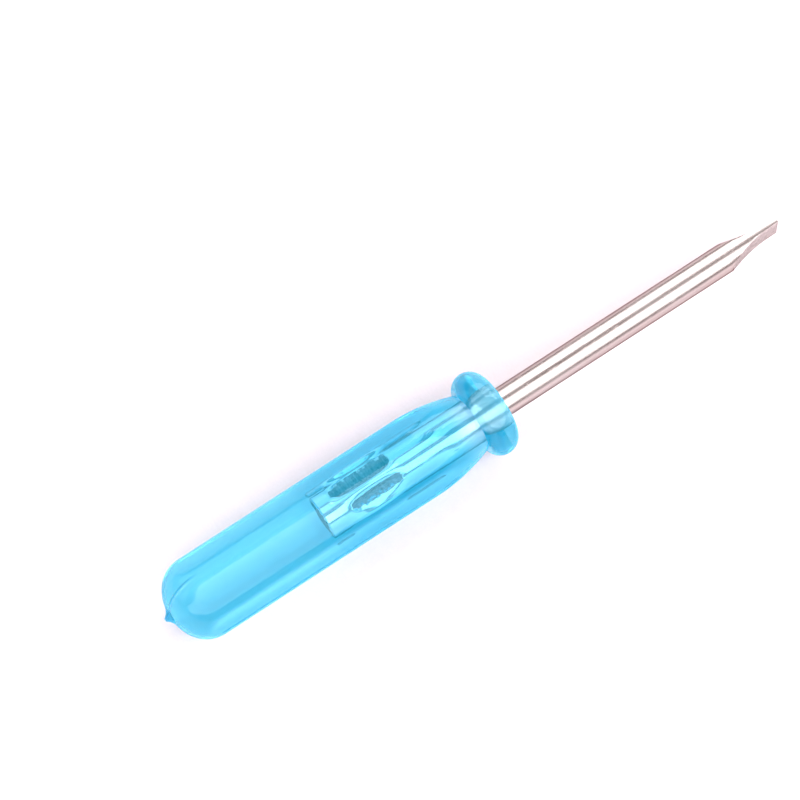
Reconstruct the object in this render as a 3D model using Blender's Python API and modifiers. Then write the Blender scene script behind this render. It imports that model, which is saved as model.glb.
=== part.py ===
"""Small slotted screwdriver: a steel blade with a clear plastic handle moulded onto it.

The tool lies along X with +Z up. The origin is the middle of the blade's end face, and +X
points out of the tip. The chisel's two faces look along +Y and -Y. Every distance along
the tool is measured back from the tip. Lengths are in metres.

Both pieces are turned shapes. What isn't round is then pressed into the turned blank: the
six flats of the handle, the four hollows of the tang and the two ground faces of the tip.
"""

import math

import bpy
import bmesh

MM = 0.001

# The whole tool
TURN_STEPS = 60                        # facets round the axis, a multiple of the six flats
MERGE = 0.001 * MM                     # closes the turned seam and the poles

# Blade: shank and chisel tip
SHANK_RADIUS = 0.95 * MM
NOSE_LENGTH = 0.5 * MM                 # parallel stretch that enters the screw slot
NOSE_HALF_THICKNESS = 0.155 * MM
GRIND_RADIUS = 8.0 * MM                # wheel that hollow-grinds the two faces
GRIND_STEPS = 9

# Blade: tang, inside the handle
TANG_END = 34.1 * MM                   # the blade's whole length
TANG_CHAMFER = 0.12 * MM
PRESSED_START = 28.45 * MM
PRESSED_END = 33.1 * MM
PRESSED_STEPS = 14
HOLLOW_DEPTH = 0.48                    # share of the shank's radius
WING_HEIGHT = 0.12                     # share of the shank's radius

# Handle: collar
COLLAR_CENTRE = 21.92 * MM
COLLAR_RADIUS = 2.85 * MM
BEAD_RADIUS = 1.05 * MM                # the collar is a rounded bead of this radius
BEAD_STEP = math.radians(15)

# Handle: neck and body
NECK_START = 23.1 * MM
NECK_RADIUS = 2.0 * MM
GROOVE_RADIUS = 1.92 * MM              # sharp groove between the collar and the neck
BODY_START = 26.95 * MM
BODY_RADIUS = 2.67 * MM                # across the six rounded corners
TAPER_POWER = 1.9
TAPER_STEPS = 9
FLAT_COUNT = 6
FLAT_DISTANCE = 2.5 * MM               # from the axis to a flat
FLAT_ROLL = math.radians(18)           # the moulding isn't clocked to the chisel
EDGE_BLEND = 0.12 * MM                 # softness between a flat and a rounded corner

# Handle: butt end
DOME_START = 42.65 * MM
BUTT_END = 45.0 * MM
DOME_POWER = 2.2                       # 2 would be an ellipse; more is blunter
DOME_STEPS = 9
NIB_LENGTH = 0.35 * MM                 # stub of the moulding gate
NIB_ROOT_RADIUS = 0.26 * MM
NIB_END_RADIUS = 0.13 * MM

# Between the blade and the plastic
CAVITY_GAP = 0.02 * MM


def collection(name):
    """A new collection in the scene."""
    group = bpy.data.collections.new(name)
    bpy.context.scene.collection.children.link(group)
    return group


def material(name, colour, metallic, roughness, alpha=1.0):
    """A Principled material with one colour and finish."""
    finish = bpy.data.materials.new(name)
    finish.use_nodes = True
    shader = finish.node_tree.nodes["Principled BSDF"]
    shader.inputs["Base Color"].default_value = (*colour, 1.0)
    shader.inputs["Metallic"].default_value = metallic
    shader.inputs["Roughness"].default_value = roughness
    shader.inputs["Alpha"].default_value = alpha
    finish.diffuse_color = (*colour, alpha)
    return finish


def smooth_minimum(first, second, blend):
    """The smaller of two lengths, with the change from one to the other rounded off."""
    nearness = max(blend - abs(first - second), 0.0) / blend
    return min(first, second) - nearness * nearness * blend / 4


def turned_mesh(name, profile):
    """Turn a profile of (radius, distance from the tip) about the tool's axis.

    The profile lies at +X of the turning axis and runs down its outer side. The tip is at
    the top, so a distance from the tip is a depth below zero.
    """
    outline = bpy.data.meshes.new(name + "_profile")
    points = [(radius, 0.0, -distance) for radius, distance in profile]
    edges = [(i, i + 1) for i in range(len(points) - 1)]
    outline.from_pydata(points, edges, [])
    blank = bpy.data.objects.new(name + "_blank", outline)
    bpy.context.scene.collection.objects.link(blank)

    screw = blank.modifiers.new("turn", "SCREW")
    screw.angle = math.tau
    screw.steps = TURN_STEPS
    screw.render_steps = TURN_STEPS
    screw.use_merge_vertices = True
    screw.merge_threshold = MERGE

    bpy.context.view_layer.update()
    evaluated = blank.evaluated_get(bpy.context.evaluated_depsgraph_get())
    mesh = bpy.data.meshes.new_from_object(evaluated)
    mesh.name = name
    bpy.data.objects.remove(blank)
    bpy.data.meshes.remove(outline)
    return mesh


def place(name, mesh, finish, group, crease):
    """Add a turned mesh as a named object, its turning axis laid along +X."""
    mesh.materials.clear()
    mesh.materials.append(finish)
    mesh.shade_smooth()
    mesh.set_sharp_from_angle(angle=crease)
    piece = bpy.data.objects.new(name, mesh)
    piece.rotation_euler = (0.0, math.pi / 2, 0.0)
    group.objects.link(piece)
    return piece


def arc(centre_radius, centre_distance, radius, start, end, step):
    """Profile points on an arc; angle 0 points outwards and 90 degrees to the butt."""
    count = max(1, round(abs(end - start) / step))
    angles = [start + (end - start) * i / count for i in range(count + 1)]
    return [
        (centre_radius + radius * math.cos(a), centre_distance + radius * math.sin(a))
        for a in angles
    ]


# Tang: four hollows pressed between four wings

def pressed_share(distance):
    """How far the press has gone in at this distance: 0 outside, 1 in the middle."""
    share = (distance - PRESSED_START) / (PRESSED_END - PRESSED_START)
    if share <= 0.0 or share >= 1.0:
        return 0.0
    return math.sin(math.pi * share) ** 0.6


def pressed_stations():
    """Distances from the tip at which the pressed stretch needs a ring."""
    length = PRESSED_END - PRESSED_START
    return [
        PRESSED_START + length * (1 - math.cos(math.pi * i / PRESSED_STEPS)) / 2
        for i in range(PRESSED_STEPS + 1)
    ]


def tang_radius(angle, distance):
    """Radius of the pressed tang. The wings lie in the planes of Y and Z."""
    hollow = math.sin(2 * angle) ** 2
    wing = 1 - hollow
    change = WING_HEIGHT * wing - HOLLOW_DEPTH * hollow
    return SHANK_RADIUS * (1 + pressed_share(distance) * change)


def press_tang(mesh, gap):
    """Press the hollows into the tang, or into the cavity that is larger by the gap."""
    turned_radius = SHANK_RADIUS + gap
    for vertex in mesh.vertices:
        distance = -vertex.co.z
        radius = math.hypot(vertex.co.x, vertex.co.y)
        on_wall = abs(radius - turned_radius) < MERGE
        if not on_wall or pressed_share(distance) == 0.0:
            continue
        angle = math.atan2(vertex.co.y, vertex.co.x)
        scale = (tang_radius(angle, distance) + gap) / radius
        vertex.co.x *= scale
        vertex.co.y *= scale


# Blade

def half_thickness(distance):
    """Half the chisel's thickness: a parallel nose, then the grinding wheel's arc."""
    run = max(distance - NOSE_LENGTH, 0.0)
    if run >= GRIND_RADIUS:
        return SHANK_RADIUS
    rise = GRIND_RADIUS - math.sqrt(GRIND_RADIUS ** 2 - run ** 2)
    return NOSE_HALF_THICKNESS + rise


def grind_length():
    """Distance from the tip at which the wheel leaves the round shank."""
    drop = SHANK_RADIUS - NOSE_HALF_THICKNESS
    return NOSE_LENGTH + math.sqrt(GRIND_RADIUS ** 2 - (GRIND_RADIUS - drop) ** 2)


def grind_tip(mesh):
    """Flatten the tip's two faces to the chisel's thickness."""
    for vertex in mesh.vertices:
        limit = half_thickness(-vertex.co.z)
        vertex.co.y = max(-limit, min(limit, vertex.co.y))


def build_blade(group):
    """One drawn steel rod with a ground tip and a pressed tang."""
    run = grind_length() - NOSE_LENGTH
    profile = [(0.0, 0.0), (SHANK_RADIUS, 0.0)]
    profile += [
        (SHANK_RADIUS, NOSE_LENGTH + run * i / GRIND_STEPS) for i in range(GRIND_STEPS + 1)
    ]
    profile += [(SHANK_RADIUS, distance) for distance in pressed_stations()]
    profile += [
        (SHANK_RADIUS, TANG_END - TANG_CHAMFER),
        (SHANK_RADIUS - TANG_CHAMFER, TANG_END),
        (0.0, TANG_END),
    ]
    mesh = turned_mesh("blade", profile)
    grind_tip(mesh)
    press_tang(mesh, 0.0)
    steel = material("nickel_plated_steel", (0.62, 0.58, 0.55), 1.0, 0.22)
    return place("blade", mesh, steel, group, math.radians(30))


# Handle

def flat_radius(angle):
    """Distance from the axis to the nearest flat's plane, in this direction."""
    pitch = math.tau / FLAT_COUNT
    from_flat = (angle - FLAT_ROLL + pitch / 2) % pitch - pitch / 2
    return FLAT_DISTANCE / math.cos(from_flat)


def press_flats(mesh):
    """Press the six flats into the body, behind the collar."""
    for vertex in mesh.vertices:
        radius = math.hypot(vertex.co.x, vertex.co.y)
        outside = radius > 2 * SHANK_RADIUS
        behind_collar = -vertex.co.z > NECK_START
        if not outside or not behind_collar:
            continue
        angle = math.atan2(vertex.co.y, vertex.co.x)
        scale = smooth_minimum(radius, flat_radius(angle), EDGE_BLEND) / radius
        vertex.co.x *= scale
        vertex.co.y *= scale


def cavity_profile():
    """The blind hole that the blade fills, from its inner end to its mouth."""
    radius = SHANK_RADIUS + CAVITY_GAP
    end = TANG_END + CAVITY_GAP
    profile = [(0.0, end), (radius - TANG_CHAMFER, end), (radius, end - TANG_CHAMFER)]
    profile += [(radius, distance) for distance in reversed(pressed_stations())]
    profile.append((radius, COLLAR_CENTRE - BEAD_RADIUS))
    return profile


def collar_profile():
    """The collar's round bead, from its front face to the groove behind it."""
    bead_centre = COLLAR_RADIUS - BEAD_RADIUS
    front = -math.pi / 2
    back = math.acos((GROOVE_RADIUS - bead_centre) / BEAD_RADIUS)
    return arc(bead_centre, COLLAR_CENTRE, BEAD_RADIUS, front, back, BEAD_STEP)


def body_profile():
    """Neck, swelling taper and straight body, before the flats are pressed."""
    length = BODY_START - NECK_START
    profile = []
    for i in range(TAPER_STEPS + 1):
        share = 1 - i / TAPER_STEPS
        narrowing = (BODY_RADIUS - NECK_RADIUS) * share ** TAPER_POWER
        profile.append((BODY_RADIUS - narrowing, BODY_START - length * share))
    return profile


def butt_profile():
    """The blunt dome and the gate's stub at its middle."""
    length = BUTT_END - DOME_START
    profile = []
    for i in range(DOME_STEPS + 1):
        share = math.sin(math.pi / 2 * i / DOME_STEPS)
        radius = BODY_RADIUS * (1 - share ** DOME_POWER) ** 0.5
        if radius > NIB_ROOT_RADIUS:
            profile.append((radius, DOME_START + length * share))
    profile += [
        (NIB_ROOT_RADIUS, BUTT_END),
        (NIB_END_RADIUS, BUTT_END + NIB_LENGTH),
        (0.0, BUTT_END + NIB_LENGTH),
    ]
    return profile


def build_handle(group):
    """One clear moulding, closed round the cavity that holds the tang."""
    profile = cavity_profile() + collar_profile() + body_profile() + butt_profile()
    mesh = turned_mesh("handle", profile)
    press_flats(mesh)
    press_tang(mesh, CAVITY_GAP)
    plastic = material("clear_blue_plastic", (0.04, 0.50, 0.92), 0.0, 0.12, 0.6)
    return place("handle", mesh, plastic, group, math.radians(30))


def main():
    for leftover in list(bpy.data.objects):
        bpy.data.objects.remove(leftover, do_unlink=True)
    parts = collection("small_slotted_screwdriver")
    build_blade(parts)
    build_handle(parts)


main()
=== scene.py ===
# %% [markdown]
# # A small slotted screwdriver with a clear blue handle
#
# The real tool has two pieces. A steel rod is ground to a chisel at one end and pressed
# into wings at the other, and clear plastic is moulded round the winged end. The CAD model
# gives both pieces their place and size. This lesson gives them their finished surfaces,
# and most of it is about two things: plastic that the light goes through, and plated steel
# that shows what stands round it.

import math

import bmesh
import bpy
from mathutils import Matrix, Vector


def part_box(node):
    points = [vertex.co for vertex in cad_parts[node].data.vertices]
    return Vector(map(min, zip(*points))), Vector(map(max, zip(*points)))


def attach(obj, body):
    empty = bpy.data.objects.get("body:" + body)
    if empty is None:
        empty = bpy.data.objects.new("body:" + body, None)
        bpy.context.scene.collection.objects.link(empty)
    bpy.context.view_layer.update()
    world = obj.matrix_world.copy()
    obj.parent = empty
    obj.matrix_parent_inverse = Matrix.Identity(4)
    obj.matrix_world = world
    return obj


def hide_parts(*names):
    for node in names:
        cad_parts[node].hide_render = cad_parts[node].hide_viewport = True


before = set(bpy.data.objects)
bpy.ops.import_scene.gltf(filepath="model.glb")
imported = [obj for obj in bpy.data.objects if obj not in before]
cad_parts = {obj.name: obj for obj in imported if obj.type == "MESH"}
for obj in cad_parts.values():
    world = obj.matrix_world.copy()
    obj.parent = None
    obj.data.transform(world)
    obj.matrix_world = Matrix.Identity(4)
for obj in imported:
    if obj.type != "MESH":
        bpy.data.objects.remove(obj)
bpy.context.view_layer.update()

# %% [markdown]
# The tool lies along X. The middle of the blade's end face is the origin, so a place along
# the tool is a distance back from the tip, at minus that distance in X. The frame gives the
# ends of both pieces, and those are kept as the ends of the finished ones.

# %% Places along the tool
MM = 0.001
blade_low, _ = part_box("blade")
handle_low, handle_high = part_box("handle")

TIP = 0.0
TANG_END = -blade_low.x
COLLAR_FRONT = -handle_high.x
BUTT = -handle_low.x
COLLAR_RADIUS = handle_high.z
SHANK_RADIUS = 0.95 * MM
print(f"tang ends {TANG_END / MM:.2f} mm back, collar front {COLLAR_FRONT / MM:.2f} mm back")

# %% [markdown]
# ## Camera
#
# The tool is looked down on steeply, from the butt's side, with a long lens. A long lens
# stands far off, so the two ends of the tool are drawn at nearly the same scale.

# %% Camera
VIEW_AZIMUTH = math.radians(-34.43)
VIEW_ELEVATION = math.radians(70.0)
VIEW_DISTANCE = 339.9 * MM
VIEW_AIM = Vector((-25.69 * MM, 3.654 * MM, 0.0))

back = Vector((
    math.sin(VIEW_AZIMUTH) * math.cos(VIEW_ELEVATION),
    -math.cos(VIEW_AZIMUTH) * math.cos(VIEW_ELEVATION),
    math.sin(VIEW_ELEVATION),
))
camera_data = bpy.data.cameras.new("camera")
camera_data.lens = 250.0
camera_data.clip_start = 5 * MM
camera_data.clip_end = 5.0
camera = bpy.data.objects.new("camera", camera_data)
camera.location = VIEW_AIM + back * VIEW_DISTANCE
camera.rotation_mode = "QUATERNION"
camera.rotation_quaternion = (-back).to_track_quat("-Z", "Y")
bpy.context.scene.collection.objects.link(camera)
bpy.context.scene.camera = camera
print("camera stands", round(camera.location.length / MM), "mm from the tip")

# %% [markdown]
# ## Floor and light
#
# Polished steel and clear plastic have hardly any look of their own: they show the room.
# So the tool lies on a small photographer's table. The table's height is the lowest point
# of the handle, whose collar and dome carry the tool.

# %% Floor
FLOOR_Z = handle_low.z
bpy.ops.mesh.primitive_plane_add(size=1.6, location=(-20 * MM, 0.0, FLOOR_Z))
floor = bpy.context.object
floor.name = "floor"
print(f"floor at {FLOOR_Z / MM:.2f} mm")

# %% [markdown]
# One long soft box stands on each side of the tool, with an unlit gap between them
# overhead and another at the horizon. The gaps draw the thin dark lines along the shank.
# A round, shiny rod squeezes the whole room into those few lines, so where the boxes begin
# and end matters more than how bright they are. Beside the handle the far box is a dimmer
# one, so that the plastic isn't washed out. All three boxes are white, so the handle's blue
# comes from its plastic. The room round them is dim and a very little pink, which is what
# warms the dark lines along the steel.

# %% Soft boxes
SOFT_BOX_DISTANCE = 200 * MM


def soft_box(name, side, low, high, start, end, radiance, colour):
    """A rectangular light beside the tool: lowest and highest elevation, and ends in X."""
    middle = math.radians((low + high) / 2)
    half = math.radians((high - low) / 2)
    light = bpy.data.lights.new(name, "AREA")
    light.shape = "RECTANGLE"
    light.size = end - start
    light.size_y = 2 * SOFT_BOX_DISTANCE * math.tan(half)
    light.energy = radiance * math.pi * light.size * light.size_y
    light.color = colour
    lamp = bpy.data.objects.new(name, light)
    towards = Vector((0.0, side * math.cos(middle), math.sin(middle)))
    lamp.location = Vector(((start + end) / 2, 0.0, 0.0)) + towards * SOFT_BOX_DISTANCE
    lamp.rotation_euler = (-towards).to_track_quat("-Z", "Y").to_euler()
    lamp.visible_camera = False
    bpy.context.scene.collection.objects.link(lamp)
    print(f"{name}: {light.size / MM:.0f} x {light.size_y / MM:.0f} mm")


WHITE = (1.0, 1.0, 1.0)
soft_box("near_soft_box", -1, 23, 74, -800 * MM, 800 * MM, 2.8, WHITE)
soft_box("far_soft_box", 1, 22, 75, 14 * MM, 800 * MM, 3.1, WHITE)
soft_box("far_fill", 1, 22, 75, -800 * MM, 14 * MM, 1.0, WHITE)

world = bpy.data.worlds.new("unlit_room")
world.use_nodes = True
room = world.node_tree.nodes["Background"]
room.inputs["Color"].default_value = (1.0, 0.86, 0.85, 1.0)
room.inputs["Strength"].default_value = 0.36
bpy.context.scene.world = world
bpy.context.scene.view_settings.view_transform = "Standard"

# %% [markdown]
# ## Turned blanks
#
# Both pieces start round. A chain of points, each a radius and a distance from the tip, is
# spun about the tool's axis. That is a lathe, and it gives even rings of quads, which bend
# light cleanly. What isn't round is pressed into the blank afterwards, by moving points.

# %% A lathe
def turned(profile, steps):
    """A bmesh made by spinning a chain of (radius, distance from the tip) about X."""
    mesh = bmesh.new()
    chain = [mesh.verts.new((-distance, 0.0, radius)) for radius, distance in profile]
    links = [mesh.edges.new(pair) for pair in zip(chain, chain[1:])]
    bmesh.ops.spin(
        mesh,
        geom=chain + links,
        cent=(0.0, 0.0, 0.0),
        axis=(1.0, 0.0, 0.0),
        dvec=(0.0, 0.0, 0.0),
        angle=math.tau,
        steps=steps,
        use_merge=True,
        use_duplicate=False,
    )
    bmesh.ops.remove_doubles(mesh, verts=mesh.verts, dist=0.0002 * MM)
    bmesh.ops.recalc_face_normals(mesh, faces=mesh.faces)
    return mesh


def arc(radius, distance, bend, start, end, count):
    """Chain points on an arc of radius bend; angle 0 points outwards, 90 to the butt."""
    angles = [math.radians(start + (end - start) * i / count) for i in range(count + 1)]
    return [(radius + bend * math.cos(a), distance + bend * math.sin(a)) for a in angles]


def finished(name, mesh, crease):
    """Puts a bmesh into a smooth-shaded object at the origin."""
    data = bpy.data.meshes.new(name)
    mesh.to_mesh(data)
    mesh.free()
    data.shade_smooth()
    data.set_sharp_from_angle(angle=math.radians(crease))
    piece = bpy.data.objects.new(name, data)
    bpy.context.scene.collection.objects.link(piece)
    print(f"{name}: {len(data.polygons)} faces")
    return piece


def smooth_minimum(first, second, blend):
    """The smaller of two lengths, with the change from one to the other rounded off."""
    nearness = max(blend - abs(first - second), 0.0) / blend
    return min(first, second) - nearness * nearness * blend / 4


# %% [markdown]
# ## The tang
#
# The press closes on the rod from four sides. It leaves four hollows, and the steel that it
# pushes aside stands up between them as four low wings. The same function shapes the rod
# and the plastic round it, so the two always fit.

# %% Pressed section
PRESSED_START = 28.45 * MM
PRESSED_END = 33.1 * MM
HOLLOW_DEPTH = 0.48
WING_HEIGHT = 0.12
HOLLOW_CURVE = 1.1
RING_COUNT = 96
RING_MARGIN = 0.35 * MM


# Each die bites a little differently: (start, end, depth) of the hollow in each quarter,
# counted from the +Y, +Z one.
BITES = ((0.0, 0.1, 1.05), (-0.25, -0.55, 0.92), (0.3, -0.2, 1.05), (-0.1, 0.0, 0.95))


def pressed_share(distance, start=0.0, end=0.0):
    """How far the press has gone in at this distance: 0 outside, 1 in the middle."""
    first = PRESSED_START + start * MM
    last = PRESSED_END + end * MM
    share = (distance - first) / (last - first)
    if share <= 0.0 or share >= 1.0:
        return 0.0
    return math.sin(math.pi * share) ** HOLLOW_CURVE


def tang_radius(angle, distance):
    """Radius of the pressed rod. The wings lie in the planes of Y and Z."""
    hollow = math.sin(2 * angle) ** 2
    start, end, depth = BITES[int(angle % math.tau // (math.pi / 2)) % 4]
    raised = pressed_share(distance) * WING_HEIGHT * (1 - hollow)
    pressed = pressed_share(distance, start, end) * HOLLOW_DEPTH * depth * hollow
    return SHANK_RADIUS * (1 + raised - pressed)


def pressed_rings():
    """Distances of the close rings that carry the hollows."""
    first, last = PRESSED_START - RING_MARGIN, PRESSED_END + RING_MARGIN
    return [first + (last - first) * i / RING_COUNT for i in range(RING_COUNT + 1)]


def press_tang(mesh, gap):
    """Presses the hollows into the points that lie on the round of the rod."""
    for point in mesh.verts:
        distance = -point.co.x
        radius = math.hypot(point.co.y, point.co.z)
        if abs(radius - SHANK_RADIUS - gap) > 1e-3 * MM:
            continue
        angle = math.atan2(point.co.z, point.co.y)
        scale = (tang_radius(angle, distance) + gap) / radius
        point.co.y *= scale
        point.co.z *= scale


# %% [markdown]
# ## The handle
#
# The moulding has a blunt dome, a body with flats, a waist and a round collar. The plastic
# came in at the butt, where the gate was twisted off and left a stub. The chain of points
# starts inside, at the end of the cavity, and runs out over the collar to that stub, so one
# turn of the lathe makes the inner wall and the outer one.

# %% Handle outline
BEAD_RADIUS = 1.05 * MM
COLLAR_MIDDLE = COLLAR_FRONT + BEAD_RADIUS
NECK_START = 23.1 * MM
NECK_RADIUS = 2.0 * MM
GROOVE_RADIUS = 1.92 * MM
BODY_START = 26.95 * MM
BODY_RADIUS = 2.67 * MM
DOME_START = 42.65 * MM
DOME_END = 45.0 * MM
NIB_ROOT_RADIUS = 0.5 * MM
TANG_CHAMFER = 0.12 * MM
CAVITY_FIT = -0.004 * MM
NECK_CURVE = 1.9
DOME_CURVE = 2.2
BEAD_POINTS = 40
CURVE_POINTS = 30


def handle_outline():
    """The chain from the cavity's inner end, out over the collar, to the stub."""
    wall = SHANK_RADIUS + CAVITY_FIT
    end = TANG_END + CAVITY_FIT
    chain = [(0.0, end), (wall - TANG_CHAMFER, end), (wall, end - TANG_CHAMFER)]
    chain += [(wall, distance) for distance in reversed(pressed_rings())]
    chain += [(wall, COLLAR_FRONT)]
    bead = COLLAR_RADIUS - BEAD_RADIUS
    back_angle = math.degrees(math.acos((GROOVE_RADIUS - bead) / BEAD_RADIUS))
    chain += arc(bead, COLLAR_MIDDLE, BEAD_RADIUS, -90, back_angle, BEAD_POINTS)
    for i in range(CURVE_POINTS + 1):
        share = 1 - i / CURVE_POINTS
        radius = BODY_RADIUS - (BODY_RADIUS - NECK_RADIUS) * share ** NECK_CURVE
        chain.append((radius, BODY_START - (BODY_START - NECK_START) * share))
    step = (DOME_START - BODY_START) / CURVE_POINTS
    chain += [(BODY_RADIUS, BODY_START + step * i) for i in range(1, CURVE_POINTS)]
    for i in range(CURVE_POINTS + 1):
        share = math.sin(math.pi / 2 * i / CURVE_POINTS)
        radius = BODY_RADIUS * (1 - share ** DOME_CURVE) ** 0.5
        if radius > NIB_ROOT_RADIUS * 1.15:
            chain.append((radius, DOME_START + (DOME_END - DOME_START) * share))
    chain += [
        (NIB_ROOT_RADIUS, DOME_END),
        (NIB_ROOT_RADIUS * 0.84, DOME_END + 0.04 * MM),
        (NIB_ROOT_RADIUS * 0.56, DOME_END + 0.14 * MM),
        (NIB_ROOT_RADIUS * 0.36, DOME_END + 0.25 * MM),
        (NIB_ROOT_RADIUS * 0.22, BUTT),
        (0.0, BUTT),
    ]
    return chain


# %% [markdown]
# The body has six flats, which keep the tool from rolling. A flat is a plane at a fixed
# distance from the axis, so a point on it is that distance divided by the cosine of its
# angle from the flat's middle. The corner is rounded where the flat meets the old round:
# a smooth minimum takes the smaller of the two radii and blends them over a short way.
# The mould's halves meet in one plane through the axis and leave a hair-fine ridge. It is
# rubbed away along the body and still stands on the dome.

# %% Press the flats
FLAT_DISTANCE = 2.5 * MM
FLAT_ROLL = math.radians(18)
FLAT_PITCH = math.radians(60)
EDGE_BLEND = 0.08 * MM
SEAM_ANGLE = FLAT_ROLL + 2.5 * FLAT_PITCH
SEAM_WORN = 42.3 * MM
SEAM_FRESH = 44.2 * MM
SEAM_HEIGHT = 0.02 * MM
SEAM_HALF_WIDTH = 0.1 * MM


def from_nearest(angle, first, pitch):
    """How far an angle is from the nearest of a ring of evenly spaced angles."""
    return (angle - first + pitch / 2) % pitch - pitch / 2


def press_handle(mesh):
    """Presses the flats into the body, and raises the parting line over the dome."""
    for point in mesh.verts:
        distance = -point.co.x
        radius = math.hypot(point.co.y, point.co.z)
        if radius < 1.3 * SHANK_RADIUS or distance > DOME_END:
            continue
        # measured from straight down, as the CAD model's flats are
        angle = math.atan2(point.co.y, -point.co.z)
        shaped = radius
        if distance > NECK_START - 0.01 * MM:
            off_flat = from_nearest(angle, FLAT_ROLL, FLAT_PITCH)
            flat = FLAT_DISTANCE / math.cos(off_flat)
            shaped = smooth_minimum(radius, flat, EDGE_BLEND)
            off_seam = abs(from_nearest(angle, SEAM_ANGLE, math.pi)) * radius
            fresh = min(max((distance - SEAM_WORN) / (SEAM_FRESH - SEAM_WORN), 0.0), 1.0)
            shaped += SEAM_HEIGHT * fresh * max(1 - off_seam / SEAM_HALF_WIDTH, 0.0)
        point.co.y *= shaped / radius
        point.co.z *= shaped / radius


# %% [markdown]
# The blank is turned first, and the tang's hollows and the flats are pressed in after. The
# cavity lies a hair inside the steel, so no film of air shows between plastic and rod: the
# real one is moulded tight onto it.

# %% Make the handle
HANDLE_STEPS = 240
handle_mesh = turned(handle_outline(), HANDLE_STEPS)
press_tang(handle_mesh, CAVITY_FIT)
press_handle(handle_mesh)

# %% [markdown]
# Air that the melt folded in stays in it as bubbles. One bright speck hangs near the neck,
# and a ragged string of them follows the edge of one hollow, where the melt didn't
# quite fill the corner. A bubble is a small closed shape whose faces look inwards, because
# the plastic is outside it.

# %% Bubbles
def bubble(mesh, distance, angle, radius, length, width, height):
    """An uneven hollow, by its distance from the tip and its angle from +Y towards +Z."""
    made = bmesh.ops.create_icosphere(mesh, subdivisions=2, radius=1.0)
    points = made["verts"]
    shape = Matrix.Diagonal((length / 2, height / 2, width / 2, 1.0))
    place = Matrix.Translation((-distance, radius, 0.0))
    turn = Matrix.Rotation(angle, 4, "X")
    for point in points:
        lump = 1 + 0.22 * math.sin(9 * point.co.x + 40 * distance / MM + 5 * point.co.z)
        point.co = turn @ place @ shape @ (point.co * lump)
    faces = {face for point in points for face in point.link_faces}
    bmesh.ops.recalc_face_normals(mesh, faces=list(faces))
    bmesh.ops.reverse_faces(mesh, faces=list(faces))


bubble(handle_mesh, 24.85 * MM, math.radians(178), 2.22 * MM, 0.30 * MM, 0.24 * MM, 0.20 * MM)
for i in range(11):
    distance = (32.1 - 0.27 * i) * MM
    angle = math.radians(152 + 5 * math.sin(2.4 * i))
    rest = tang_radius(angle, distance) + 0.1 * MM
    size = (0.27 + 0.1 * math.sin(5.3 * i)) * MM
    bubble(handle_mesh, distance, angle, rest, size, 0.22 * MM, 0.12 * MM)
handle = finished("clear_handle", handle_mesh, 40)

# %% [markdown]
# ## The blade
#
# The blade is a plain rod for most of its length, so its chain has few points there and
# close ones only under the press, where the hollows need them. Its inner end is chamfered,
# as a cropped rod is after tumbling.

# %% Rod
def rod_outline():
    """The chain along the rod, dense only where the press works."""
    chain = [(0.0, TIP), (SHANK_RADIUS, TIP)]
    chain += [(SHANK_RADIUS, TIP + MM * i) for i in range(1, 28)]
    chain += [(SHANK_RADIUS, distance) for distance in pressed_rings()]
    chain += [
        (SHANK_RADIUS, TANG_END - TANG_CHAMFER),
        (SHANK_RADIUS - TANG_CHAMFER, TANG_END),
        (0.0, TANG_END),
    ]
    return chain


ROD_STEPS = 180
rod_mesh = turned(rod_outline(), ROD_STEPS)
press_tang(rod_mesh, 0.0)
blade = finished("steel_blade", rod_mesh, 40)

# %% [markdown]
# The chisel is hollow-ground: a wheel cuts a shallow arc into each side of the round rod,
# so the end is thin and nearly parallel and the root stays strong. A Boolean cut with the
# wheel's own outline gives the same crisp edges. The cut is applied to the mesh at once,
# because the wheels are only tools and don't belong in the finished model.

# %% Grind the tip
NOSE_LENGTH = 0.5 * MM
NOSE_HALF_THICKNESS = 0.155 * MM
GRIND_RADIUS = 8.0 * MM
GRIND_REACH = 4.2 * MM
GRIND_POINTS = 40


def grinding_wheel(side):
    """A cutter whose lower face is the ground surface, on one side of the blade."""
    cutter = bmesh.new()
    outline = [(MM, NOSE_HALF_THICKNESS), (-NOSE_LENGTH, NOSE_HALF_THICKNESS)]
    for i in range(1, GRIND_POINTS + 1):
        run = (GRIND_REACH - NOSE_LENGTH) * i / GRIND_POINTS
        rise = GRIND_RADIUS - math.sqrt(GRIND_RADIUS ** 2 - run ** 2)
        outline.append((-NOSE_LENGTH - run, NOSE_HALF_THICKNESS + rise))
    outline += [(-GRIND_REACH, 3 * MM), (MM, 3 * MM)]
    corners = [cutter.verts.new((x, side * y, -2 * MM)) for x, y in outline]
    face = cutter.faces.new(corners)
    sides = bmesh.ops.extrude_face_region(cutter, geom=[face])
    moved = [item for item in sides["geom"] if isinstance(item, bmesh.types.BMVert)]
    bmesh.ops.translate(cutter, verts=moved, vec=(0.0, 0.0, 4 * MM))
    bmesh.ops.recalc_face_normals(cutter, faces=cutter.faces)
    data = bpy.data.meshes.new("wheel")
    cutter.to_mesh(data)
    cutter.free()
    wheel = bpy.data.objects.new("wheel", data)
    bpy.context.scene.collection.objects.link(wheel)
    return wheel


wheels = [grinding_wheel(1), grinding_wheel(-1)]
for wheel in wheels:
    cut = blade.modifiers.new("grind", "BOOLEAN")
    cut.operation = "DIFFERENCE"
    cut.object = wheel
bpy.context.view_layer.update()
evaluated = blade.evaluated_get(bpy.context.evaluated_depsgraph_get())
ground = bpy.data.meshes.new_from_object(evaluated)
blade.modifiers.clear()
blade.data = ground
ground.name = "steel_blade"
for wheel in wheels:
    bpy.data.objects.remove(wheel)
print("ground blade:", len(ground.polygons), "faces")

# %% [markdown]
# No real edge is perfectly sharp. A bevel far thinner than a hair on every edge that the
# wheel left catches a thin line of light, and that is what makes the edge look like steel.

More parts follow.
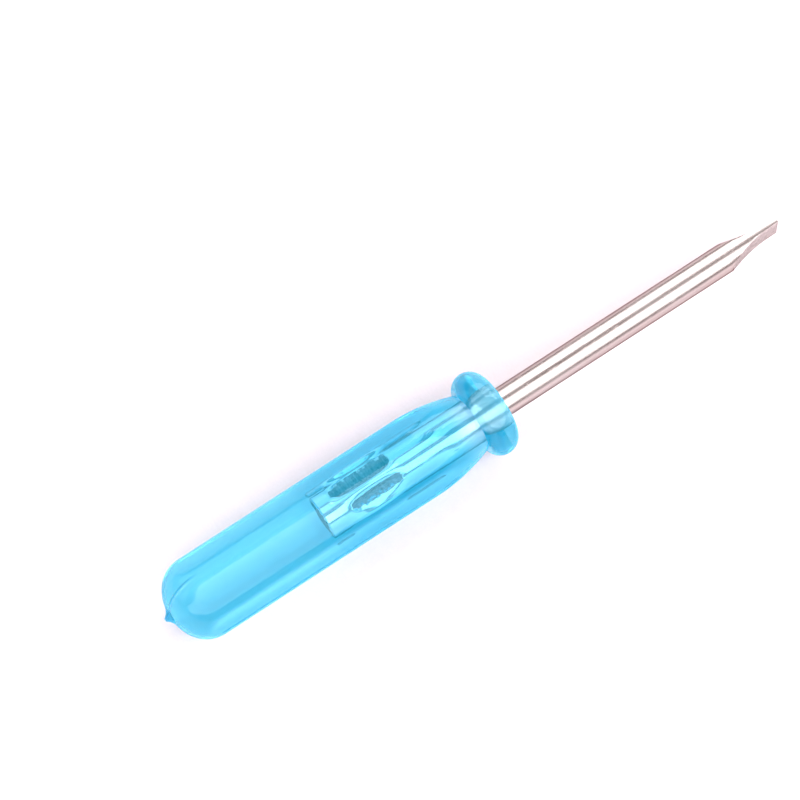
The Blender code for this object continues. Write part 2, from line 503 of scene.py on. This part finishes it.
# %% Break the ground edges
EDGE_BREAK = 0.012 * MM
CRISP = math.radians(18)
edge_mesh = bmesh.new()
edge_mesh.from_mesh(ground)
crisp = [
    edge for edge in edge_mesh.edges
    if len(edge.link_faces) == 2
    and edge.calc_face_angle() > CRISP
    and all(point.co.x > -GRIND_REACH for point in edge.verts)
]
bmesh.ops.bevel(
    edge_mesh,
    geom=crisp,
    offset=EDGE_BREAK,
    offset_type="OFFSET",
    affect="EDGES",
    segments=2,
    profile=0.5,
    material=-1,
    clamp_overlap=True,
)
bmesh.ops.remove_doubles(edge_mesh, verts=edge_mesh.verts, dist=0.0005 * MM)
bmesh.ops.recalc_face_normals(edge_mesh, faces=edge_mesh.faces)
edge_mesh.to_mesh(ground)
edge_mesh.free()
ground.shade_smooth()
ground.set_sharp_from_angle(angle=math.radians(30))
print("bevelled edges:", len(crisp))

# %% [markdown]
# ## Materials
#
# A material here is a tree of nodes, made in Python. These helpers keep each step to one
# line: add a node, feed its sockets with a value or a link, and hand back its result.

# %% Node helpers
def add(tree, kind, **settings):
    """Adds a node and sets its plain properties."""
    made = tree.nodes.new(kind)
    for key, value in settings.items():
        setattr(made, key, value)
    return made


def feed(tree, socket, value):
    """Links another node's socket into this one, or sets a plain value on it."""
    if isinstance(value, bpy.types.NodeSocket):
        tree.links.new(value, socket)
    else:
        socket.default_value = value


def calculate(tree, operation, *values, clamp=False):
    """A Math node, fed in order, and its result."""
    made = add(tree, "ShaderNodeMath", operation=operation, use_clamp=clamp)
    for socket, value in zip(made.inputs, values):
        feed(tree, socket, value)
    return made.outputs[0]


def ramp(tree, value, low, high, start=0.0, end=1.0, smooth=True):
    """Carries a value from one range to another, clamped."""
    made = add(tree, "ShaderNodeMapRange")
    made.interpolation_type = "SMOOTHSTEP" if smooth else "LINEAR"
    feed(tree, made.inputs["Value"], value)
    feed(tree, made.inputs["From Min"], low)
    feed(tree, made.inputs["From Max"], high)
    feed(tree, made.inputs["To Min"], start)
    feed(tree, made.inputs["To Max"], end)
    return made.outputs["Result"]


def blend(tree, share, first, second, mode="MIX"):
    """Mixes two colours by a mask."""
    made = add(tree, "ShaderNodeMix", data_type="RGBA", blend_type=mode)
    feed(tree, made.inputs[0], share)
    feed(tree, made.inputs[6], first)
    feed(tree, made.inputs[7], second)
    return made.outputs[2]


def noise(tree, vector, scale, detail=2.0, stretch=None, rotation=None):
    """Noise in the space of a vector, stretched where one is given."""
    if stretch or rotation:
        mapped = add(tree, "ShaderNodeMapping")
        tree.links.new(vector, mapped.inputs["Vector"])
        mapped.inputs["Scale"].default_value = stretch or (1.0, 1.0, 1.0)
        mapped.inputs["Rotation"].default_value = rotation or (0.0, 0.0, 0.0)
        vector = mapped.outputs[0]
    made = add(tree, "ShaderNodeTexNoise")
    tree.links.new(vector, made.inputs["Vector"])
    feed(tree, made.inputs["Scale"], scale)
    made.inputs["Detail"].default_value = detail
    return made.outputs["Fac"]


# %% [markdown]
# Some marks are the same on plastic, on steel and on the table: hair scratches and a fine
# grain. Each is one node group with its own inputs, and every material sets its own values.
# A scratch is a thin line in one direction. Noise that is stretched a long way gives long
# streaks, and keeping only a narrow slice of its values turns each streak into a hairline.
# A second, coarser noise breaks the lines up, so that no scratch runs the whole way.

# %% Scratch group
def new_group(name, inputs, outputs):
    """A shader node group with named float and vector sockets."""
    made = bpy.data.node_groups.new(name, "ShaderNodeTree")
    for label, kind in inputs:
        made.interface.new_socket(label, in_out="INPUT", socket_type=kind)
    for label, kind in outputs:
        made.interface.new_socket(label, in_out="OUTPUT", socket_type=kind)
    entry = made.nodes.new("NodeGroupInput")
    leave = made.nodes.new("NodeGroupOutput")
    return made, entry, leave


FLOAT, VECTOR = "NodeSocketFloat", "NodeSocketVector"
scratches, entry, leave = new_group(
    "hair_scratches",
    [("Place", VECTOR), ("Fineness", FLOAT), ("Width", FLOAT)],
    [("Scratches", FLOAT)],
)
lines = []
for turn in ((0.2, 0.35, 0.5), (1.3, 0.7, -0.6), (0.4, -1.1, 2.2)):
    streak = noise(scratches, entry.outputs["Place"], entry.outputs["Fineness"], 1.0,
                   (0.06, 1.0, 1.0), turn)
    off_line = calculate(scratches, "ABSOLUTE", calculate(scratches, "SUBTRACT", streak, 0.5))
    lines.append(ramp(scratches, off_line, 0.0, entry.outputs["Width"], 1.0, 0.0))
crossed = calculate(scratches, "MAXIMUM", calculate(scratches, "MAXIMUM", *lines[:2]), lines[2])
patchy = noise(scratches, entry.outputs["Place"], 700.0, 2.0)
gaps = ramp(scratches, patchy, 0.52, 0.66)
scratches.links.new(calculate(scratches, "MULTIPLY", crossed, gaps), leave.inputs["Scratches"])
print("group:", scratches.name)

# %% [markdown]
# The grain is the small unevenness that a matt surface has: sheared steel, a blasted mould,
# a painted table. Two sizes of noise are added, so that it doesn't look combed.

# %% Grain group
grain, entry, leave = new_group(
    "fine_grain",
    [("Place", VECTOR), ("Fineness", FLOAT)],
    [("Grain", FLOAT)],
)
coarse = noise(grain, entry.outputs["Place"], entry.outputs["Fineness"], 3.0)
finer = calculate(grain, "MULTIPLY", entry.outputs["Fineness"], 3.7)
fine = noise(grain, entry.outputs["Place"], finer, 3.0)
both = calculate(grain, "MULTIPLY_ADD", fine, 0.5, calculate(grain, "MULTIPLY", coarse, 0.5))
grain.links.new(both, leave.inputs["Grain"])
print("group:", grain.name)


# %% [markdown]
# Every material starts the same way: a Principled shader, and the object's own coordinates.
# Those are in metres and stay with the piece, so a noise scale of 1000 means marks about a
# millimetre apart, wherever the piece goes. Surface detail is a chain of Bump nodes, each
# with its real height.

# %% Place a group in a material
def use(tree, group, **values):
    """Adds a group node, feeds its inputs by name and gives its first output."""
    made = add(tree, "ShaderNodeGroup", node_tree=group)
    for label, value in values.items():
        feed(tree, made.inputs[label], value)
    return made.outputs[0]


def new_material(name):
    """A material, its tree, its Principled shader and the object's own coordinates."""
    made = bpy.data.materials.new(name)
    made.use_nodes = True
    tree = made.node_tree
    place = add(tree, "ShaderNodeTexCoord").outputs["Object"]
    return made, tree, tree.nodes["Principled BSDF"], place


def bumps(tree, shader, *layers):
    """Chains Bump nodes, each a height socket and how many metres its full height is."""
    normal = None
    for height, depth in layers:
        made = add(tree, "ShaderNodeBump")
        made.inputs["Distance"].default_value = depth
        tree.links.new(height, made.inputs["Height"])
        if normal:
            tree.links.new(normal, made.inputs["Normal"])
        normal = made.outputs["Normal"]
    tree.links.new(normal, shader.inputs["Normal"])


# %% [markdown]
# ## Clear blue plastic
#
# Dyed plastic is clear where it is thin and deep blue where light goes a long way through
# it. That is a volume effect, so the tint is an absorption inside the handle and not a
# colour on it. A blue sheen stands for the haze that a cheap moulding has under its skin.
# It is a stand-in and not how haze works: real haze scatters light inside, which would take
# far longer to render. It keeps the darkest places blue, as they are on the real tool.

# %% Plastic body
plastic, tree, shader, place = new_material("clear_blue_plastic")
shader.inputs["Metallic"].default_value = 0.0
shader.inputs["IOR"].default_value = 1.5
shader.inputs["Transmission Weight"].default_value = 1.0
shader.inputs["Sheen Weight"].default_value = 0.66
shader.inputs["Sheen Roughness"].default_value = 1.0
shader.inputs["Sheen Tint"].default_value = (0.02, 0.66, 1.0, 1.0)
tint = add(tree, "ShaderNodeVolumeAbsorption")
DYE = (0.14, 0.915, 0.999, 1.0)
DYE_PER_METRE = 190.0
tint.inputs["Color"].default_value = DYE
tint.inputs["Density"].default_value = DYE_PER_METRE
tree.links.new(tint.outputs["Volume"], tree.nodes["Material Output"].inputs["Volume"])

split = add(tree, "ShaderNodeSeparateXYZ")
tree.links.new(place, split.inputs[0])
along = split.outputs["X"]

# %% [markdown]
# The dye isn't mixed in perfectly. It runs in soft streaks from the gate towards the
# collar. The front of the handle round the steel is painted a deeper blue, as painted
# shade, and the collar is left out of it.

# %% Plastic colour
CLEAR = (1.0, 1.0, 1.0, 1.0)
FRONT_PAINTED_SHADE = (0.50, 0.87, 1.0, 1.0)
COLLAR_CLEAR = (1.0, 0.97, 1.0, 1.0)
TORN_EDGE = (0.95, 0.93, 1.0, 1.0)
# Painted shade: from 36 mm back towards the tip the handle is painted a deeper blue; from 25 mm
# back the collar is left out of it.
front_shade_share = ramp(tree, along, -36 * MM, -31 * MM)
body_colour = blend(tree, front_shade_share, CLEAR, FRONT_PAINTED_SHADE)
at_collar = ramp(tree, along, -25 * MM, -23.5 * MM)
body_colour = blend(tree, at_collar, body_colour, COLLAR_CLEAR)
flow = noise(tree, place, 1500.0, 3.0, (0.06, 1.0, 1.0))
streaks = ramp(tree, flow, 0.35, 0.65, 0.0, 0.5)
streaked = blend(tree, streaks, body_colour, (0.90, 0.97, 1.0, 1.0), "MULTIPLY")
torn = ramp(tree, along, -DOME_END + 0.06 * MM, -DOME_END - 0.02 * MM)
plastic_colour = blend(tree, torn, streaked, TORN_EDGE)

# %% [markdown]
# The ridge of the parting line is too fine to show well by its shape alone, so the material
# bumps it and paints a darker blue line along it as painted shade. The distance from the
# mould's plane finds it on both sides of the handle.

# %% Parting line
seam_normal = (0.0, -math.cos(SEAM_ANGLE), -math.sin(SEAM_ANGLE))
across = add(tree, "ShaderNodeVectorMath", operation="DOT_PRODUCT")
tree.links.new(place, across.inputs[0])
across.inputs[1].default_value = seam_normal
off_seam = calculate(tree, "ABSOLUTE", across.outputs["Value"])
seam = ramp(tree, off_seam, 0.0, 0.15 * MM, 1.0, 0.0)
worn = ramp(tree, along, -SEAM_WORN, -SEAM_FRESH, 0.06, 1.0)
seam = calculate(tree, "MULTIPLY", seam, worn)

# Painted shade: a darker blue is painted along the parting line.
painted_seam_shade = calculate(tree, "MULTIPLY", seam, 0.8)
lined = blend(tree, painted_seam_shade, plastic_colour, (0.10, 0.45, 0.95, 1.0))
tree.links.new(lined, shader.inputs["Base Color"])

# %% [markdown]
# A moulding copies its mould, so the skin is glossy and nearly smooth. What is left are
# shallow sink waves where the thick plastic shrank, faint flow ripples, a few nicks from
# lying loose in a bag, and a coarse, dull break where the gate was twisted off.

# %% Plastic surface
nicks = use(tree, scratches, Place=place, Fineness=2600.0, Width=0.006)
skin = use(tree, grain, Place=place, Fineness=900.0)
roughness = calculate(tree, "MULTIPLY_ADD", skin, 0.05, 0.015)
roughness = calculate(tree, "MULTIPLY_ADD", nicks, 0.12, roughness)
roughness = calculate(tree, "MULTIPLY_ADD", torn, 0.5, roughness)
tree.links.new(roughness, shader.inputs["Roughness"])
sink = noise(tree, place, 420.0, 1.0, (0.35, 1.0, 1.0))
bumps(
    tree,
    shader,
    (sink, 0.035 * MM),
    (flow, 0.006 * MM),
    (seam, 0.06 * MM),
    (nicks, 0.002 * MM),
    (calculate(tree, "MULTIPLY", skin, torn), 0.08 * MM),
)
handle.data.materials.append(plastic)
print("plastic nodes:", len(tree.nodes))

# %% [markdown]
# ## Plated steel
#
# The rod was drawn, cut, pressed and plated, and then its tip was ground. So the round
# parts are bright with fine lines along them, and wherever a tool went below the drawn
# skin the steel is duller. One mask finds both places: the distance from the axis is less
# than the rod's radius. A little noise in that distance makes the border ragged. The dark
# edge tint is painted shade: it darkens the reflection towards the outline. Real plated
# steel gets brighter towards its outline.

# %% Below the drawn skin
steel, tree, shader, place = new_material("plated_steel")
shader.inputs["Metallic"].default_value = 1.0
# Painted shade: the dark edge tint darkens the steel's reflection towards its outline.
shader.inputs["Specular Tint"].default_value = (0.15, 0.08, 0.08, 1.0)
split = add(tree, "ShaderNodeSeparateXYZ")
tree.links.new(place, split.inputs[0])
section = add(tree, "ShaderNodeCombineXYZ")
tree.links.new(split.outputs["Y"], section.inputs["Y"])
tree.links.new(split.outputs["Z"], section.inputs["Z"])
radius = add(tree, "ShaderNodeVectorMath", operation="LENGTH")
tree.links.new(section.outputs[0], radius.inputs[0])
tear = noise(tree, place, 3600.0, 4.0, (0.5, 1.0, 1.0))
torn_radius = calculate(tree, "MULTIPLY_ADD", tear, 0.22 * MM, radius.outputs["Value"])
edge = SHANK_RADIUS + 0.05 * MM
bare = ramp(tree, torn_radius, edge, edge - 0.03 * MM)
burr = calculate(tree, "MULTIPLY", bare, calculate(tree, "SUBTRACT", 1.0, bare))
burr = calculate(tree, "MULTIPLY", burr, 4.0)
inside = ramp(tree, split.outputs["X"], -20 * MM, -26 * MM)

# %% [markdown]
# Drawing pulls the rod through a die and leaves fine lines along it.
# Noise that is stretched a long way along X gives them. Ground steel is paler and grainy.
# Inside the handle the plated steel is painted lighter and bluer, a painted reflection of
# the blue plastic round it. The pressed hollows are painted near-black, as painted shade.

# %% Steel colour
PLATED_LIGHT = (0.60, 0.53, 0.515, 1.0)
PLATED_DARK = (0.50, 0.435, 0.425, 1.0)
PLATED_CLOUD = (0.62, 0.60, 0.60, 1.0)
PAINTED_BLUE_REFLECTION = (0.70, 0.88, 1.0, 1.0)
BURR = (0.95, 0.90, 0.89, 1.0)
draw_lines = noise(tree, place, 9000.0, 3.0, (0.004, 1.0, 1.0))
cloud = noise(tree, place, 900.0, 4.0, (0.3, 1.0, 1.0))
plated = blend(tree, ramp(tree, draw_lines, 0.3, 0.7, 0.0, 1.0),
               PLATED_LIGHT, PLATED_DARK)
plated = blend(tree, ramp(tree, cloud, 0.35, 0.75, 0.0, 0.35),
               plated, PLATED_CLOUD)
# Painted reflection: inside the handle the plated steel is painted lighter and bluer, for the
# blue plastic that it reflects.
plated = blend(tree, inside, plated, PAINTED_BLUE_REFLECTION)
bare_grain = use(tree, grain, Place=place, Fineness=5200.0)
speckle = ramp(tree, bare_grain, 0.38, 0.62, 0.0, 1.0, False)
ground_steel = blend(tree, speckle, (0.46, 0.42, 0.42, 1.0), (0.86, 0.80, 0.80, 1.0))
# Painted shade: the pressed hollows are painted near-black.
pressed_painted_shade = blend(tree, speckle, (0.02, 0.02, 0.03, 1.0), (0.20, 0.19, 0.24, 1.0))
dull = blend(tree, inside, ground_steel, pressed_painted_shade)
worked = blend(tree, bare, plated, dull)
worked = blend(tree, burr, worked, BURR)
tree.links.new(worked, shader.inputs["Base Color"])

# %% [markdown]
# Roughness says how wide a reflection spreads. The plated rod spreads it enough to soften
# the soft boxes' edges; bare steel spreads it so far that it looks matt.

# %% Steel surface
wear = use(tree, scratches, Place=place, Fineness=5200.0, Width=0.008)
free = ramp(tree, cloud, 0.3, 0.7, 0.24, 0.29)
shine = calculate(tree, "MULTIPLY_ADD", inside, -0.17, free)
shine = calculate(tree, "MULTIPLY_ADD", wear, 0.12, shine)
roughness = calculate(tree, "MULTIPLY_ADD", bare, 0.25, shine)
tree.links.new(roughness, shader.inputs["Roughness"])
bumps(
    tree,
    shader,
    (draw_lines, 0.0012 * MM),
    (cloud, 0.004 * MM),
    (wear, 0.0012 * MM),
    (calculate(tree, "MULTIPLY", bare_grain, bare), 0.035 * MM),
)
ground.materials.clear()
ground.materials.append(steel)
print("steel nodes:", len(tree.nodes))

# %% [markdown]
# ## White table
#
# The table is pale, faintly pink and lit until it is nearly white, so its own colour shows
# only in the soft shade beside the tool and in what the steel reflects.

# %% Table finish
table, tree, shader, place = new_material("white_table")
fibre = use(tree, grain, Place=place, Fineness=1500.0)
paint = blend(tree, ramp(tree, fibre, 0.4, 0.6), (0.83, 0.735, 0.765, 1.0),
              (0.85, 0.75, 0.785, 1.0))
tree.links.new(paint, shader.inputs["Base Color"])
tree.links.new(ramp(tree, fibre, 0.3, 0.7, 0.5, 0.65), shader.inputs["Roughness"])
bumps(tree, shader, (fibre, 0.02 * MM))
floor.data.materials.append(table)
print("table nodes:", len(tree.nodes))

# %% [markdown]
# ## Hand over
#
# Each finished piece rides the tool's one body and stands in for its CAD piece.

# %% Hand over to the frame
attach(handle, "root")
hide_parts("handle")
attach(blade, "root")
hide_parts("blade")
print("handed over:", handle.name, blade.name)
